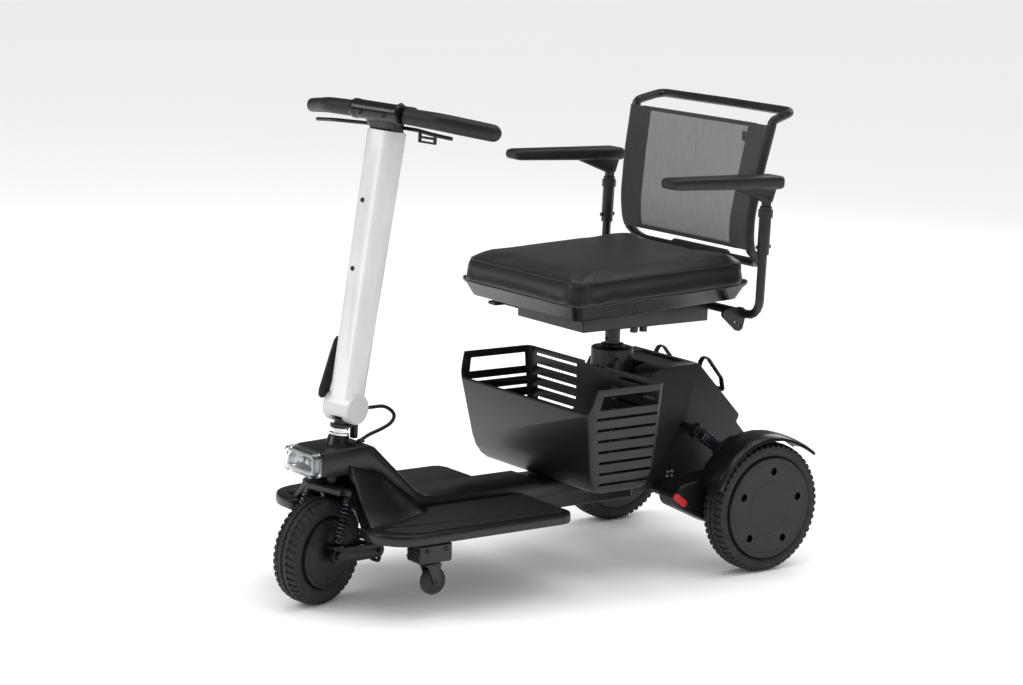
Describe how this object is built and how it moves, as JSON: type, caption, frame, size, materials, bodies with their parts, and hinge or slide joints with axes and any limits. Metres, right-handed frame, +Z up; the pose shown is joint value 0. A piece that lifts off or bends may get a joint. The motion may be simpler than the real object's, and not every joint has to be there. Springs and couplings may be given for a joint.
{
  "type": "mobility scooter",
  "caption": "Three-wheeled mobility scooter with steerable tiller, swivel seat with mesh backrest and flip-up arms, open basket, floorboards and sprung wheels.",
  "frame": {"origin": "middle of the scooter's footprint box on the floor", "axes": "+Z up, -Y is forward, +X is the rider's left"},
  "size_m": [0.586, 1.2008, 1.003],
  "materials": {
    "white_paint": "white gloss paint",
    "grey_plastic": "light grey satin plastic",
    "black_paint": "black satin moulding",
    "black_steel": "black powder coat",
    "black_plastic": "black fine-grained plastic",
    "grip_rubber": "black soft-touch rubber",
    "mat_rubber": "black ribbed rubber",
    "tyre_rubber": "black solid tyre rubber",
    "seat_leather": "black grained leatherette",
    "back_mesh": "grey open-weave mesh",
    "chrome": "bright chrome plate",
    "spring_steel": "black coated spring wire",
    "lens_clear": "clear lens",
    "red_plastic": "red plastic"
  },
  "bodies": {
    "chassis": {"main_frame": "black_steel", "front_cover": "black_paint", "floor_deck": "black_paint", "floor_mat_left": "mat_rubber", "floor_mat_right": "mat_rubber", "headlight_lens": "lens_clear", "headlight_reflector": "chrome", "rear_casing": "black_plastic", "seat_clamp": "black_steel", "tiller_cable": "grip_rubber", "rear_spring_left": "spring_steel", "rear_spring_right": "spring_steel"},
    "steering": {"front_fork": "black_steel", "headset_nut": "chrome", "front_spring_left": "spring_steel", "front_spring_right": "spring_steel"},
    "front_arm": {"front_arm": "black_steel", "front_axle": "chrome"},
    "front_wheel": {"front_tyre": "tyre_rubber", "front_hub": "black_plastic"},
    "tiller": {"tiller_column": "white_paint", "hinge_pin": "grey_plastic", "handlebar": "black_paint", "grip_left": "grip_rubber", "grip_right": "grip_rubber", "control_pod": "black_plastic"},
    "release_lever": {"release_lever": "black_plastic"},
    "throttle": {"throttle_lever": "black_plastic"},
    "speed_dial": {"speed_dial": "grip_rubber"},
    "horn_button": {"horn_button": "grey_plastic"},
    "battery": {"battery_pack": "black_plastic"},
    "battery_handle": {"battery_handle": "black_plastic"},
    "seat_post": {"seat_post": "black_steel"},
    "seat": {"seat_bracket": "black_steel", "seat_pan": "black_plastic", "seat_cushion": "seat_leather", "armrest_frame": "black_steel", "backrest_hinge": "black_steel"},
    "swivel_lever": {"swivel_lever": "black_steel"},
    "backrest": {"backrest_frame": "black_steel", "backrest_mesh": "back_mesh"},
    "basket": {"basket": "black_paint"},
    "arm_post_left": {"arm_post_left": "black_steel"},
    "arm_pad_left": {"arm_pad_left": "grip_rubber"},
    "swing_left": {"swing_arm_left": "black_steel", "fender_left": "black_plastic"},
    "rear_wheel_left": {"rear_tyre_left": "tyre_rubber", "rear_hub_left": "black_plastic"},
    "brake_lever_left": {"brake_lever_left": "red_plastic"},
    "caster_left": {"caster_fork_left": "black_steel"},
    "caster_wheel_left": {"caster_wheel_left": "tyre_rubber"},
    "arm_post_right": {"arm_post_right": "black_steel"},
    "arm_pad_right": {"arm_pad_right": "grip_rubber"},
    "swing_right": {"swing_arm_right": "black_steel", "fender_right": "black_plastic"},
    "rear_wheel_right": {"rear_tyre_right": "tyre_rubber", "rear_hub_right": "black_plastic"},
    "brake_lever_right": {"brake_lever_right": "red_plastic"},
    "caster_right": {"caster_fork_right": "black_steel"},
    "caster_wheel_right": {"caster_wheel_right": "tyre_rubber"}
  },
  "joints": [
    {"name": "steering", "type": "hinge", "parent": "chassis", "child": "steering", "pos_m": [0, -0.43995, 0.3516], "axis": [0, 0.121, 0.9927], "range_deg": [-57, 23], "deforming": ["tiller_cable"]},
    {"name": "front_suspension", "type": "hinge", "parent": "steering", "child": "front_arm", "pos_m": [-0.03082, -0.36994, 0.09556], "axis": [-0.956, -0.2911, 0.0355], "range_deg": [0, 3.8], "stiffness_Nm_per_rad": 180, "springref_deg": -6.88, "deforming": ["front_spring_left", "front_spring_right"]},
    {"name": "front_wheel_spin", "type": "hinge", "parent": "front_arm", "child": "front_wheel", "pos_m": [0.00722, -0.49328, 0.10857], "axis": [0.956, 0.2911, -0.0355], "continuous": true},
    {"name": "tiller_tilt", "type": "hinge", "parent": "steering", "child": "tiller", "pos_m": [-0.00294, -0.42529, 0.39255], "axis": [-0.956, -0.2911, 0.0355], "range_deg": [-8, 30]},
    {"name": "release_lever_pull", "type": "hinge", "parent": "tiller", "child": "release_lever", "pos_m": [-0.03964, -0.4218, 0.52021], "axis": [-0.956, -0.2911, 0.0355], "range_deg": [0, 22], "stiffness_Nm_per_rad": 0.6, "springref_deg": -17.19},
    {"name": "throttle_rock", "type": "hinge", "parent": "tiller", "child": "throttle", "pos_m": [-0.02071, -0.29943, 0.94638], "axis": [0.0355, 0.0053, 0.9994], "range_deg": [-12, 12], "stiffness_Nm_per_rad": 1.2},
    {"name": "speed_dial_turn", "type": "hinge", "parent": "tiller", "child": "speed_dial", "pos_m": [-0.01903, -0.3008, 0.98018], "axis": [-0.2488, 0.8693, 0.4271], "range_deg": [-130, 130]},
    {"name": "horn_press", "type": "slide", "parent": "tiller", "child": "horn_button", "axis": [0.2488, -0.8693, -0.4271], "range_m": [0, 0.003], "stiffness_N_per_m": 300, "springref_m": -0.002},
    {"name": "battery_slide", "type": "slide", "parent": "chassis", "child": "battery", "axis": [0, 0.7143, 0.6998], "range_m": [0, 0.12]},
    {"name": "battery_handle_lift", "type": "hinge", "parent": "battery", "child": "battery_handle", "pos_m": [0, 0.43215, 0.41665], "axis": [1, 0, 0], "range_deg": [0, 90]},
    {"name": "seat_height", "type": "slide", "parent": "chassis", "child": "seat_post", "axis": [0, 0, 1], "range_m": [0, 0.05]},
    {"name": "seat_swivel", "type": "hinge", "parent": "seat_post", "child": "seat", "pos_m": [0, 0.24515, 0.52], "axis": [0, 0, 1], "continuous": true},
    {"name": "swivel_lever_pull", "type": "hinge", "parent": "seat", "child": "swivel_lever", "pos_m": [-0.126, 0.08865, 0.544], "axis": [0, 0, 1], "range_deg": [0, 10], "stiffness_Nm_per_rad": 0.8, "springref_deg": -17.19},
    {"name": "backrest_fold", "type": "hinge", "parent": "seat", "child": "backrest", "pos_m": [0, 0.47665, 0.65], "axis": [1, 0, 0], "range_deg": [0, 22]},
    {"name": "basket_lift", "type": "slide", "parent": "chassis", "child": "basket", "axis": [0, 0, 1], "range_m": [0, 0.07]},
    {"name": "arm_height_left", "type": "slide", "parent": "seat", "child": "arm_post_left", "axis": [0, 0.0262, 0.9997], "range_m": [0, 0.05]},
    {"name": "arm_flip_left", "type": "hinge", "parent": "arm_post_left", "child": "arm_pad_left", "pos_m": [0.264, 0.42865, 0.8], "axis": [-1, 0, 0], "range_deg": [0, 92]},
    {"name": "rear_suspension_left", "type": "hinge", "parent": "chassis", "child": "swing_left", "pos_m": [0.176, 0.29465, 0.166], "axis": [1, 0, 0], "range_deg": [0, 4], "stiffness_Nm_per_rad": 450, "springref_deg": -5.73, "deforming": ["rear_spring_left"]},
    {"name": "rear_wheel_spin_left", "type": "hinge", "parent": "swing_left", "child": "rear_wheel_left", "pos_m": [0.2545, 0.46095, 0.1395], "axis": [1, 0, 0], "continuous": true},
    {"name": "brake_lever_turn_left", "type": "hinge", "parent": "swing_left", "child": "brake_lever_left", "pos_m": [0.21, 0.28665, 0.155], "axis": [-1, 0, 0], "range_deg": [0, 30]},
    {"name": "caster_swivel_left", "type": "hinge", "parent": "chassis", "child": "caster_left", "pos_m": [0.212, -0.36385, 0.1176], "axis": [0, 0, 1], "continuous": true},
    {"name": "caster_spin_left", "type": "hinge", "parent": "caster_left", "child": "caster_wheel_left", "pos_m": [0.212, -0.35185, 0.076], "axis": [1, 0, 0], "continuous": true},
    {"name": "arm_height_right", "type": "slide", "parent": "seat", "child": "arm_post_right", "axis": [0, 0.0262, 0.9997], "range_m": [0, 0.05]},
    {"name": "arm_flip_right", "type": "hinge", "parent": "arm_post_right", "child": "arm_pad_right", "pos_m": [-0.264, 0.42865, 0.8], "axis": [-1, 0, 0], "range_deg": [0, 92]},
    {"name": "rear_suspension_right", "type": "hinge", "parent": "chassis", "child": "swing_right", "pos_m": [-0.176, 0.29465, 0.166], "axis": [1, 0, 0], "range_deg": [0, 4], "stiffness_Nm_per_rad": 450, "springref_deg": -5.73, "deforming": ["rear_spring_right"]},
    {"name": "rear_wheel_spin_right", "type": "hinge", "parent": "swing_right", "child": "rear_wheel_right", "pos_m": [-0.2545, 0.46095, 0.1395], "axis": [1, 0, 0], "continuous": true},
    {"name": "brake_lever_turn_right", "type": "hinge", "parent": "swing_right", "child": "brake_lever_right", "pos_m": [-0.21, 0.28665, 0.155], "axis": [-1, 0, 0], "range_deg": [0, 30]},
    {"name": "caster_swivel_right", "type": "hinge", "parent": "chassis", "child": "caster_right", "pos_m": [-0.212, -0.36385, 0.1176], "axis": [0, 0, 1], "continuous": true},
    {"name": "caster_spin_right", "type": "hinge", "parent": "caster_right", "child": "caster_wheel_right", "pos_m": [-0.212, -0.35185, 0.076], "axis": [1, 0, 0], "continuous": true}
  ]
}
